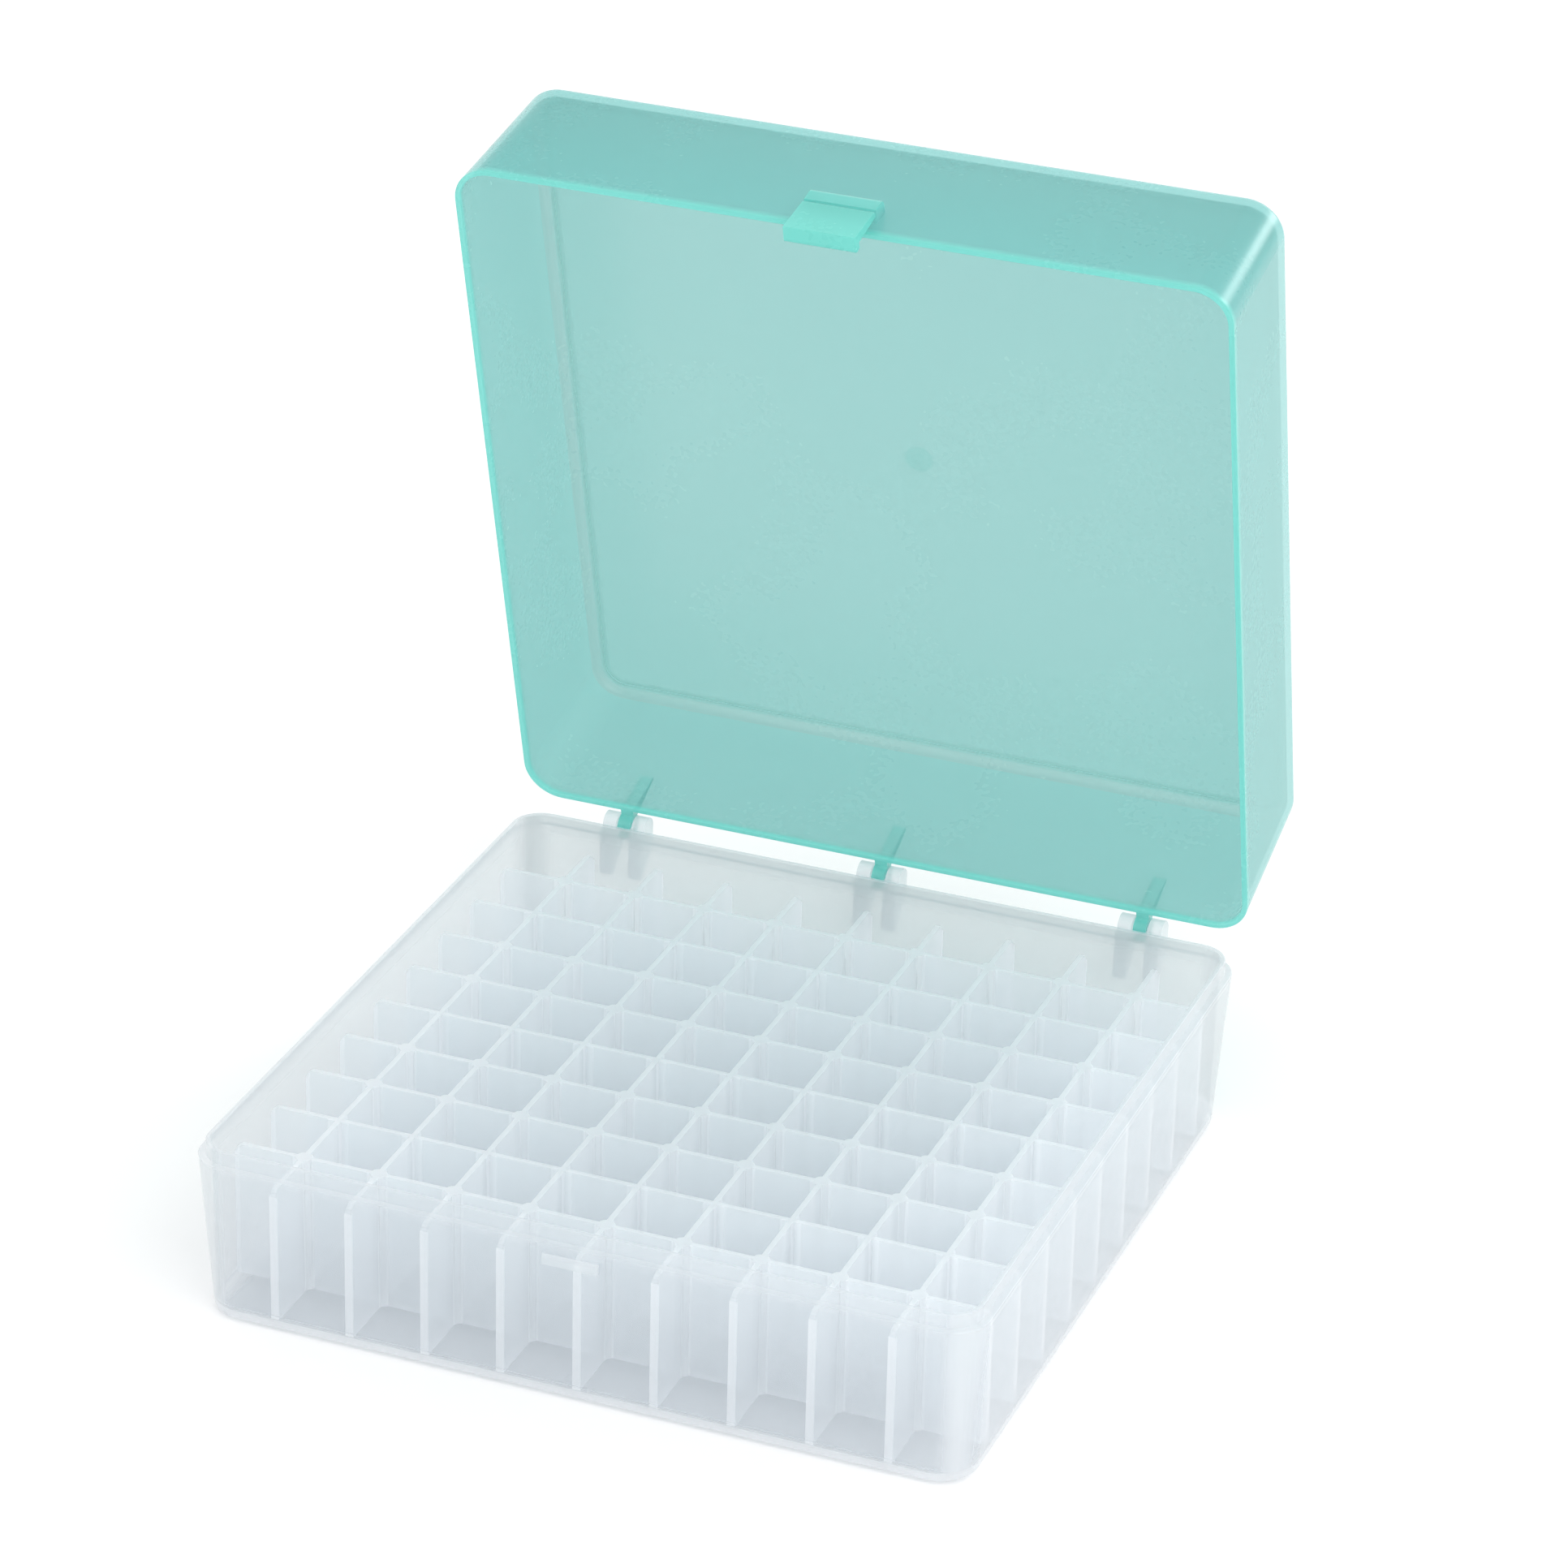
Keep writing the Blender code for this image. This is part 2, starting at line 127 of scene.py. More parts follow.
class Signal:
    """A shader socket that takes part in Python arithmetic."""

    def __init__(self, bench: "NodeBench", socket: bpy.types.NodeSocket) -> None:
        """Wrap a socket of a bench's tree."""
        self.bench = bench
        self.socket = socket

    def combine(self, operation: str, other: "Signal | float") -> "Signal":
        """Add a Math node.

        Args:
            operation: The Math node's operation.
            other: The second value.

        Returns:
            The node's result.
        """
        return self.bench.node("ShaderNodeMath", {"operation": operation}, {0: self, 1: other})

    def __add__(self, other: "Signal | float") -> "Signal":
        """Sum."""
        return self.combine("ADD", other)

    __radd__ = __add__

    def __mul__(self, other: "Signal | float") -> "Signal":
        """Product."""
        return self.combine("MULTIPLY", other)

    def __sub__(self, other: "Signal | float") -> "Signal":
        """Difference."""
        return self.combine("SUBTRACT", other)

    def __pow__(self, other: "Signal | float") -> "Signal":
        """Power."""
        return self.combine("POWER", other)


class NodeBench:
    """A material's node tree and the one method that adds nodes to it."""

    def __init__(self, name: str) -> None:
        """Start an empty tree in a new material.

        Args:
            name: The material's name.
        """
        self.material = bpy.data.materials.new(name)
        self.material.use_nodes = True
        self.tree = self.material.node_tree
        self.tree.nodes.clear()

    def node(self, kind: str, settings: dict[str, object] | None = None,
             inputs: dict[str | int, object] | None = None, output: str | int = 0) -> Signal:
        """Add a node.

        Args:
            kind: The node's type.
            settings: Its settings, set before its inputs.
            inputs: Values or signals for its inputs, by name or number.
            output: The output that is returned.

        Returns:
            One of the node's outputs.
        """
        made = self.tree.nodes.new(kind)
        for key, value in (settings or {}).items():
            setattr(made, key, value)
        for key, value in (inputs or {}).items():
            if isinstance(value, Signal):
                self.tree.links.new(value.socket, made.inputs[key])
            else:
                made.inputs[key].default_value = value
        return Signal(self, made.outputs[output])

    def blend(self, share: Signal, first: object, second: object) -> Signal:
        """Mix two colours.

        Args:
            share: How much of the second colour, from 0 to 1.
            first: A colour or a signal.
            second: A colour or a signal.

        Returns:
            The mixed colour.
        """
        made = self.tree.nodes.new("ShaderNodeMix")
        made.data_type = "RGBA"
        self.tree.links.new(share.socket, made.inputs[0])
        for index, value in ((6, first), (7, second)):
            if isinstance(value, Signal):
                self.tree.links.new(value.socket, made.inputs[index])
            else:
                made.inputs[index].default_value = (*value, 1.0)
        return Signal(self, made.outputs[2])

    def finish(self, surface: Signal) -> bpy.types.Material:
        """Link a surface to the material's output.

        Args:
            surface: The shader that the material shows.

        Returns:
            The finished material.
        """
        out = self.tree.nodes.new("ShaderNodeOutputMaterial")
        self.tree.links.new(surface.socket, out.inputs["Surface"])
        return self.material

    def noise(self, place: Signal, scale: float, detail: float = 2.0) -> Signal:
        """A noise value at a place.

        Args:
            place: The coordinates read.
            scale: Features per metre.
            detail: Octaves.

        Returns:
            A value from 0 to 1.
        """
        return self.node("ShaderNodeTexNoise", None,
                         {"Vector": place, "Scale": scale, "Detail": detail})


@dataclass(frozen=True)
class Polypropylene:
    """Moulded polypropylene that lets some light straight through and glows with the rest.

    The thick attribute is 1 where much plastic lies behind the surface, such as along an
    edge, and also carries a painted highlight on the tray shell's rounded corners. The veil
    attribute is 1 where painted shade, a greyer and more opaque tint, shows in full, and an
    even emission gives the plastic a painted glow.
    """

    CLOUD_SCALE = 34.0
    FINE_SCALE = 900.0
    CLOUD_VALUE = 1.06
    CLOUD_SATURATION = 0.94
    FINE_ROUGHNESS = 0.015
    CLOUD_ROUGHNESS = 0.06
    BUMP_DISTANCE = 0.00006
    BUMP_HEIGHT = 3.0
    SPECULAR = 0.1
    SHEEN_POWER = 5.0
    SHEEN_RISE = 0.60
    SHEEN_BASE = 0.03
    COLUMN_SHARE = 0.3
    COLUMN_FADE = 1.25

    name: str
    slot: str
    face: Colour
    edge: Colour
    painted_shade: Colour
    glow: Colour
    clear: Colour
    cover: float
    edge_cover: float
    painted_shade_cover: float
    glow_share: float
    roughness: float
    grain: float
    # Strength of a painted glow: an even emission in the glow colour that lightens the plastic
    # beyond what the lamps give it.
    painted_glow: float = 0.0
    column_pitch: float = 0.0
    column_half: float = 1.7 * MM

    def columns(self, bench: NodeBench, place: Signal) -> Signal:
        """Where the dividers cross, as a mask.

        Args:
            bench: The material's bench.
            place: Object coordinates.

        Returns:
            1 within a column's half width of a crossing along X and Y, 0 beyond it.
        """
        mask: Signal | None = None
        for axis in ("X", "Y"):
            along = bench.node("ShaderNodeSeparateXYZ", None, {0: place}, output=axis)
            off = along.combine("PINGPONG", self.column_pitch / 2)
            near_line = bench.node(
                "ShaderNodeMapRange", {"interpolation_type": "SMOOTHSTEP"},
                {"Value": off, "From Min": self.column_half,
                 "From Max": self.column_half * self.COLUMN_FADE, "To Min": 1.0, "To Max": 0.0})
            mask = near_line if mask is None else mask * near_line
        return mask

    def material(self) -> bpy.types.Material:
        """Build the material.

        Returns:
            The material, with its nodes linked.
        """
        bench = NodeBench(self.name)
        place = bench.node("ShaderNodeTexCoord", output="Object")
        thick = bench.node("ShaderNodeAttribute", {"attribute_name": THICK}, output="Fac")
        painted_shade = bench.node("ShaderNodeAttribute", {"attribute_name": PAINTED_SHADE}, output="Fac")
        if self.column_pitch > 0.0:
            columns = self.columns(bench, place)
            thick = thick.combine("MAXIMUM", columns * self.COLUMN_SHARE)
        clouds = bench.noise(place, self.CLOUD_SCALE, 1.0)
        fine = bench.noise(place, self.FINE_SCALE, 0.0)
        tint = bench.blend(thick, self.face, self.edge)
        # Painted shade: the greyer shade colour is mixed in where the second attribute asks, and
        # the cover rises with it.
        tint = bench.blend(painted_shade, tint, self.painted_shade)
        colour = bench.blend(clouds, tint, bench.node(
            "ShaderNodeHueSaturation", None,
            {"Value": self.CLOUD_VALUE, "Saturation": self.CLOUD_SATURATION, "Color": tint}))
        cover = thick * (self.edge_cover - self.cover) + self.cover
        cover = cover + painted_shade * (self.painted_shade_cover - self.cover)
        rough = (self.roughness + (fine - 0.5) * self.FINE_ROUGHNESS
                 + (clouds - 0.5) * self.CLOUD_ROUGHNESS)
        bump = bench.node("ShaderNodeBump", None, {
            "Strength": self.grain, "Distance": self.BUMP_DISTANCE,
            "Height": clouds * self.BUMP_HEIGHT})
        # Painted glow: the emission inputs make the plastic glow evenly in the glow colour, though
        # it is no lamp.
        shell = bench.node("ShaderNodeBsdfPrincipled", None, {
            "Base Color": colour, "Roughness": rough,
            "Specular IOR Level": self.SPECULAR, "Normal": bump,
            "Emission Color": (*self.glow, 1.0), "Emission Strength": self.painted_glow})
        glow = bench.node("ShaderNodeBsdfTranslucent", None, {"Color": (*self.glow, 1.0)})
        plastic = bench.node("ShaderNodeMixShader", None,
                             {0: self.glow_share, 1: shell, 2: glow})
        clear = bench.node("ShaderNodeBsdfTransparent", None, {"Color": (*self.clear, 1.0)})
        mixed = bench.node("ShaderNodeMixShader", None, {0: cover, 1: clear, 2: plastic})
        slant = bench.node("ShaderNodeLayerWeight", None, {"Blend": 0.5}, output="Facing")
        sheen = bench.node("ShaderNodeBsdfAnisotropic", None, {
            "Color": (1.0, 1.0, 1.0, 1.0), "Roughness": rough, "Normal": bump})
        share = (slant ** self.SHEEN_POWER) * self.SHEEN_RISE + self.SHEEN_BASE
        mixed = bench.node("ShaderNodeMixShader", None, {0: share, 1: mixed, 2: sheen})
        return bench.finish(mixed)


# The finishes below give the painted shade's colour and cover after the edge colour, and the
# painted glow's strength last.
CLEAR_PP = Polypropylene(
    name="clear_moulding", slot="frosted_polypropylene",
    face=(0.76, 0.79, 0.82), edge=(0.95, 0.955, 0.965), painted_shade=(0.50, 0.555, 0.55),
    glow=(0.84, 0.865, 0.89), clear=(0.962, 0.968, 0.974),
    cover=0.10, edge_cover=0.66, painted_shade_cover=0.40, glow_share=0.45, roughness=0.34, grain=0.10,
    painted_glow=0.06)

GRID_PP = replace(
    CLEAR_PP, name="clear_grid_moulding", column_pitch=PITCH,
    face=(0.87, 0.895, 0.92), edge=(0.97, 0.975, 0.985), glow=(0.915, 0.935, 0.955),
    clear=(0.97, 0.978, 0.983), cover=0.34, edge_cover=0.66, painted_glow=0.15)

TEAL_PP = Polypropylene(
    name="teal_moulding", slot="teal_polypropylene",
    face=(0.24, 0.68, 0.67), edge=(0.24, 0.90, 0.79), painted_shade=(0.48, 0.38, 0.365),
    glow=(0.36, 0.74, 0.72), clear=(0.70, 0.87, 0.86),
    cover=0.42, edge_cover=0.80, painted_shade_cover=0.52, glow_share=0.5, roughness=0.27, grain=0.05,
    painted_glow=0.02)


# Modelling moves


def near(value: float, target: float, slack: float = 0.02 * MM) -> bool:
    """Whether two lengths are the same to within a hair."""
    return abs(value - target) < slack


def upright(first: Vector, second: Vector) -> bool:
    """Whether an edge climbs."""
    return not near(first.z, second.z)


def facing_up(_: Vector, normal: Vector) -> bool:
    """Whether a face looks up."""
    return normal.z > 0.9


def facing_down(_: Vector, normal: Vector) -> bool:
    """Whether a face looks down."""
    return normal.z < -0.9


def level(height: float) -> PickRule:
    """The rule that picks the edges at a height."""
    return lambda a, b: near(a.z, height) and near(b.z, height)


def line_at(y: float, z: float) -> PickRule:
    """The rule that picks the edges along X at one place in Y and Z."""
    return lambda a, b: (near(a.z, z) and near(b.z, z) and near(a.y, y) and near(b.y, y))


class Shop:
    """Modelling moves that every sub-assembly shares."""

    @staticmethod
    def activate(piece: bpy.types.Object) -> None:
        """Leave edit mode and select one piece alone.

        Args:
            piece: The piece that becomes active.
        """
        Shop.deselect()
        piece.select_set(True)
        bpy.context.view_layer.objects.active = piece

    @staticmethod
    def deselect() -> None:
        """Leave edit mode and select nothing."""
        if bpy.context.mode != "OBJECT":
            bpy.ops.object.mode_set(mode="OBJECT")
        bpy.ops.object.select_all(action="DESELECT")

    @classmethod
    def block(cls, name: str, low: Sequence[float], high: Sequence[float]) -> bpy.types.Object:
        """Add a box between two corners.

        Args:
            name: The piece's name.
            low: Its lowest corner.
            high: Its highest corner.

        Returns:
            The new object, with its place in its mesh.
        """
        cls.deselect()
        centre = [(a + b) / 2 for a, b in zip(low, high)]
        bpy.ops.mesh.primitive_cube_add(size=1.0, location=centre)
        piece = bpy.context.object
        piece.name = name
        piece.scale = [b - a for a, b in zip(low, high)]
        bpy.ops.object.transform_apply(location=True, rotation=True, scale=True)
        return piece

    @classmethod
    def bar(cls, name: str, centre: Sequence[float], radius: float, width: float,
            axis: Axis, sides: int = 32) -> bpy.types.Object:
        """Add a round bar.

        Args:
            name: The piece's name.
            centre: Its middle.
            radius: Its radius.
            width: Its length along the axis.
            axis: The direction that it lies along.
            sides: How many flats it has.

        Returns:
            The new object, with its place in its mesh.
        """
        cls.deselect()
        turn = {Axis.X: (0.0, math.pi / 2, 0.0), Axis.Y: (math.pi / 2, 0.0, 0.0),
                Axis.Z: (0.0, 0.0, 0.0)}[axis]
        bpy.ops.mesh.primitive_cylinder_add(
            vertices=sides, radius=radius, depth=width, location=centre, rotation=turn)
        piece = bpy.context.object
        piece.name = name
        bpy.ops.object.transform_apply(location=True, rotation=True, scale=True)
        return piece

    @classmethod
    def modify(cls, piece: bpy.types.Object, kind: str, **settings: object) -> None:
        """Add a modifier and apply it at once.

        Args:
            piece: The piece that it changes.
            kind: The modifier's type.
            settings: The modifier's settings.
        """
        cls.activate(piece)
        modifier = piece.modifiers.new(kind.lower(), kind)
        for key, value in settings.items():
            setattr(modifier, key, value)
        bpy.ops.object.modifier_apply(modifier=modifier.name)

    @classmethod
    def shape(cls, piece: bpy.types.Object, tool: bpy.types.Object, operation: str) -> None:
        """Join or cut a piece with a tool, and throw the tool away."""
        cls.modify(piece, "BOOLEAN", object=tool, operation=operation, solver="EXACT")
        bpy.data.objects.remove(tool, do_unlink=True)

    @classmethod
    def clean(cls, piece: bpy.types.Object, within: float = 0.004 * MM) -> None:
        """Merge the points that a union leaves almost on top of each other.

        Args:
            piece: The piece that is cleaned.
            within: How close two points have to be.
        """
        cls.activate(piece)
        bpy.ops.object.mode_set(mode="EDIT")
        bpy.ops.mesh.select_all(action="SELECT")
        bpy.ops.mesh.remove_doubles(threshold=within)
        bpy.ops.mesh.dissolve_degenerate(threshold=within)
        bpy.ops.mesh.select_all(action="SELECT")
        bpy.ops.mesh.fill_holes(sides=4)
        bpy.ops.object.mode_set(mode="OBJECT")

    @classmethod
    def copy(cls, piece: bpy.types.Object, shift: Sequence[float]) -> bpy.types.Object:
        """Copy a piece, with its own mesh, to another place.

        Args:
            piece: The piece that is copied.
            shift: How far the copy stands from it.

        Returns:
            The copy.
        """
        made = piece.copy()
        made.data = piece.data.copy()
        bpy.context.collection.objects.link(made)
        made.data.transform(Matrix.Translation(shift))
        return made

    @classmethod
    def join(cls, pieces: Sequence[bpy.types.Object]) -> bpy.types.Object:
        """Join pieces into the first of them.

        Args:
            pieces: The pieces, which become one object.

        Returns:
            The first piece.
        """
        cls.deselect()
        for piece in pieces:
            piece.select_set(True)
        bpy.context.view_layer.objects.active = pieces[0]
        bpy.ops.object.join()
        return pieces[0]

    @classmethod
    def dress(cls, piece: bpy.types.Object, angle_deg: float, thick: PaintRule,
              painted_shade: PaintRule = lambda point, normal: 0.0) -> None:
        """Shade a piece smooth with its flats kept flat, and write its two attributes.

        Args:
            piece: The piece.
            angle_deg: The steepest edge that is shaded smooth.
            thick: Says how much plastic lies behind a corner, and on the tray shell's rounded
                corners adds a painted highlight.
            painted_shade: Says how much painted shade, a greyer tint, a corner shows.
        """
        cls.activate(piece)
        bpy.ops.object.shade_smooth_by_angle(angle=math.radians(angle_deg))
        cls.modify(piece, "WEIGHTED_NORMAL", keep_sharp=True, weight=100)
        cls.paint(piece, THICK, thick)
        cls.paint(piece, PAINTED_SHADE, painted_shade)

    @staticmethod
    def paint(piece: bpy.types.Object, name: str, rule: PaintRule) -> None:
        """Write an attribute on a piece's face corners.

        Args:
            piece: The piece.
            name: The attribute's name.
            rule: Gives the value from a corner's place and its face's normal.
        """
        mesh = piece.data
        attribute = mesh.attributes.get(name) or mesh.attributes.new(name, "FLOAT", "CORNER")
        values = [0.0] * len(mesh.loops)
        for polygon in mesh.polygons:
            for index in polygon.loop_indices:
                corner = mesh.vertices[mesh.loops[index].vertex_index].co
                values[index] = rule(corner, polygon.normal)
        attribute.data.foreach_set("value", values)

    @staticmethod
    def fit(piece: bpy.types.Object, finish: Polypropylene, body: Body,
            nodes: Iterable[str] = ()) -> None:
        """Give a piece its finish, its body and the frame nodes that it stands for.

        Args:
            piece: The piece.
            finish: The plastic that it is made of.
            body: The body that it rides on.
            nodes: The frame nodes that it replaces.
        """
        piece.data.materials.clear()
        existing = bpy.data.materials.get(finish.name)
        piece.data.materials.append(existing or finish.material())
        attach(piece, body.value)
        names = list(nodes)
        if names:
            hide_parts(*names)
        LOG.info("%s: %d faces on %s", piece.name, len(piece.data.polygons), body.value)


class Edit:
    """Edit mode on one piece, with picks made by place and direction."""

    def __init__(self, piece: bpy.types.Object) -> None:
        """Hold the piece to be edited."""
        self.piece = piece

    def __enter__(self) -> "Edit":
        """Enter edit mode.

        Returns:
            The edit itself.
        """
        Shop.activate(self.piece)
        bpy.ops.object.mode_set(mode="EDIT")
        return self

    def __exit__(self, *details: object) -> None:
        """Leave edit mode."""
        bpy.ops.object.mode_set(mode="OBJECT")

    def edges(self, rule: PickRule) -> None:
        """Select the edges whose two ends pass a rule.

        Args:
            rule: Tests an edge by its ends.
        """
        mesh = self._clear("EDGE")
        for edge in mesh.edges:
            if rule(edge.verts[0].co, edge.verts[1].co):
                edge.select_set(True)
        bmesh.update_edit_mesh(self.piece.data)

    def faces(self, rule: PickRule) -> None:
        """Select the faces whose middle and normal pass a rule.

        Args:
            rule: Tests a face by its middle and its normal.
        """
        mesh = self._clear("FACE")
        for face in mesh.faces:
            if rule(face.calc_center_median(), face.normal):
                face.select_set(True)
        bmesh.update_edit_mesh(self.piece.data)

    def _clear(self, mode: str) -> bmesh.types.BMesh:
        """Set what is picked, with nothing selected.

        Args:
            mode: The kind of part that is picked.

        Returns:
            The mesh under edit.
        """
        bpy.ops.mesh.select_mode(type=mode)
        bpy.ops.mesh.select_all(action="DESELECT")
        return bmesh.from_edit_mesh(self.piece.data)

    @staticmethod
    def bevel(width: float, segments: int) -> None:
        """Round the selected edges."""
        bpy.ops.mesh.bevel(offset=width, offset_type="OFFSET", segments=segments,
                           profile=0.5, affect="EDGES", clamp_overlap=False)

    @staticmethod
    def inset(width: float) -> None:
        """Inset the selected faces."""
        bpy.ops.mesh.inset(thickness=width, depth=0.0, use_even_offset=True)

    @staticmethod
    def extrude(rise: float) -> None:
        """Extrude the selected faces along Z."""
        bpy.ops.mesh.extrude_region_move(
            TRANSFORM_OT_translate={"value": (0.0, 0.0, rise)})

    @staticmethod
    def resize(scale_x: float, scale_y: float) -> None:
        """Widen or narrow what is selected about the Z axis."""
        bpy.ops.transform.resize(value=(scale_x, scale_y, 1.0), center_override=(0.0, 0.0, 0.0))

    @staticmethod
    def move(shift: Sequence[float]) -> None:
        """Move what is selected."""
        bpy.ops.transform.translate(value=shift)

    @staticmethod
    def ring(height: float) -> None:
        """Cut a loop round the whole piece at a height."""
        bpy.ops.mesh.select_all(action="SELECT")
        bpy.ops.mesh.bisect(plane_co=(0.0, 0.0, height), plane_no=(0.0, 0.0, 1.0))


# Sub-assemblies


@dataclass
class TrayShell:
    """The tray's floor, walls, shoulder and lip."""

    half_x: float
    half_y: float
    shoulder: float
    lip_top: float
    draft: float = 1.7 * MM
    ledge: float = 1.3 * MM
    lip: float = 0.9 * MM
    floor: float = FLOOR
    corner: float = 7.0 * MM
    foot: float = 1.6 * MM
    inner_draft: float = 0.3 * MM
    inner_round: float = 0.9 * MM
    shoulder_round: float = 0.25 * MM
    foot_rings: tuple[float, float] = (2.0 * MM, 2.7 * MM)
    shoulder_rings: tuple[float, float] = (0.8 * MM, 1.3 * MM)
    catch_low: float = 26.6 * MM
    catch_high: float = 28.5 * MM
    catch_half: float = 5.0 * MM
    catch_proud: float = 0.95 * MM
    catch_bite: float = 0.6 * MM

    def build(self) -> bpy.types.Object:
        """Model and dress the shell.

        Returns:
            The finished piece.
        """
        shell = Shop.block("tray_shell", (-self.half_x, -self.half_y, 0.0),
                           (self.half_x, self.half_y, self.shoulder))
        with Edit(shell) as edit:
            edit.edges(upright)
            edit.bevel(self.corner, 12)
            edit.faces(facing_down)
            edit.resize(1.0 - self.draft / self.half_x, 1.0 - self.draft / self.half_y)
            edit.edges(level(0.0))
            edit.bevel(self.foot, 6)
            edit.faces(facing_up)
            edit.inset(self.ledge)
            edit.extrude(self.lip_top - self.shoulder)
            edit.inset(self.lip)
            edit.extrude(self.floor - self.lip_top)
            inner_x = self.half_x - self.ledge - self.lip
            inner_y = self.half_y - self.ledge - self.lip
            edit.resize(1.0 - self.inner_draft / inner_x, 1.0 - self.inner_draft / inner_y)
            edit.edges(level(self.floor))
            edit.bevel(self.inner_round, 4)
            edit.edges(level(self.lip_top))
            edit.bevel(EDGE_ROUND, 3)
            edit.edges(lambda a, b: near(a.z, self.shoulder) and near(b.z, self.shoulder)
                       and self._outer(a) and self._outer(b))
            edit.bevel(self.shoulder_round, 3)
            for height in (*self.foot_rings, *(self.shoulder - d for d in self.shoulder_rings)):
                edit.ring(height)
        Shop.shape(shell, self.catch(), "UNION")
        Shop.dress(shell, 40.0, self.thick, self.painted_shade)
        return shell

    def catch(self) -> bpy.types.Object:
        """Model the ledge under which the latch hooks, on the front wall.

        Returns:
            The ledge, which runs into the wall.
        """
        low, high = self.catch_low, self.catch_high
        front = -(self.half_y - self.draft * (1.0 - low / self.shoulder))
        proud = front - self.catch_proud
        ledge = Shop.block("catch", (-self.catch_half, proud, low),
                           (self.catch_half, front + self.catch_bite, high))
        with Edit(ledge) as edit:
            edit.edges(line_at(proud, high))
            edit.bevel(0.9 * MM, 3)
            edit.edges(lambda a, b: near(a.y, proud) and near(b.y, proud) and upright(a, b))
            edit.bevel(0.25 * MM, 2)
        return ledge

    def painted_shade(self, point: Vector, normal: Vector) -> float:
        """How much painted shade the walls turned from the light show, as a greyer, more opaque
        tint.

        Args:
            point: A corner of a face.
            normal: The face's normal.

        Returns:
            A share from 0 to 1.
        """
        # Painted shade: full on the back wall's inside, 0.8 on its outside, half on the left wall.
        if point.z < self.floor + 1.0 * MM or normal.z > 0.5:
            return 0.0
        if point.y > self.half_y - 5.0 * MM:
            return 1.0 if normal.y < 0.0 else 0.8
        return 0.5 if point.x < -self.half_x + 5.0 * MM else 0.0

    def _outer(self, point: Vector) -> bool:
        """Whether a point is on the shell's outline rather than on the lip.

        Args:
            point: A point at the shoulder's height.

        Returns:
            True on the outline.
        """
        reach_x = self.half_x - self.corner
        reach_y = self.half_y - self.corner
        past_x = max(abs(point.x) - reach_x, 0.0)
        past_y = max(abs(point.y) - reach_y, 0.0)
        return math.hypot(past_x, past_y) > self.corner - 0.3 * MM

    def thick(self, point: Vector, normal: Vector) -> float:
        """How much plastic lies behind a point of the shell, with a painted highlight on the
        rounded vertical corners.

        Args:
            point: A corner of a face.
            normal: The face's normal.

        Returns:
            A share from 0 to 1.
        """
        past_x = max(abs(point.x) - (self.half_x - self.corner), 0.0)
        past_y = max(abs(point.y) - (self.half_y - self.corner), 0.0)
        corner = 0.0
        # Painted highlight: the rounded vertical corners are made brighter and more opaque, most
        # at the middle of each curve.
        if past_x > 0 and past_y > 0:
            corner = 0.55 * math.sin(2.0 * math.atan2(past_y, past_x))
        foot = 0.0
        if -0.97 <= normal.z < 0.5:
            foot = 0.85 * (1.0 - ramp(point.z, 1.9 * MM, self.foot_rings[1]))
        upper, lower = (self.shoulder - drop for drop in self.shoulder_rings)
        rim = 0.22 * ramp(point.z, lower, upper)
        if normal.z > 0.5 and point.z > self.shoulder - 1.0 * MM:
            rim = 0.4
        catch = 0.0
        if normal.y < -0.2 and point.y < -self.half_y and point.z < lower:
            catch = 0.5
        return min(1.0, max(corner, foot, rim, catch))


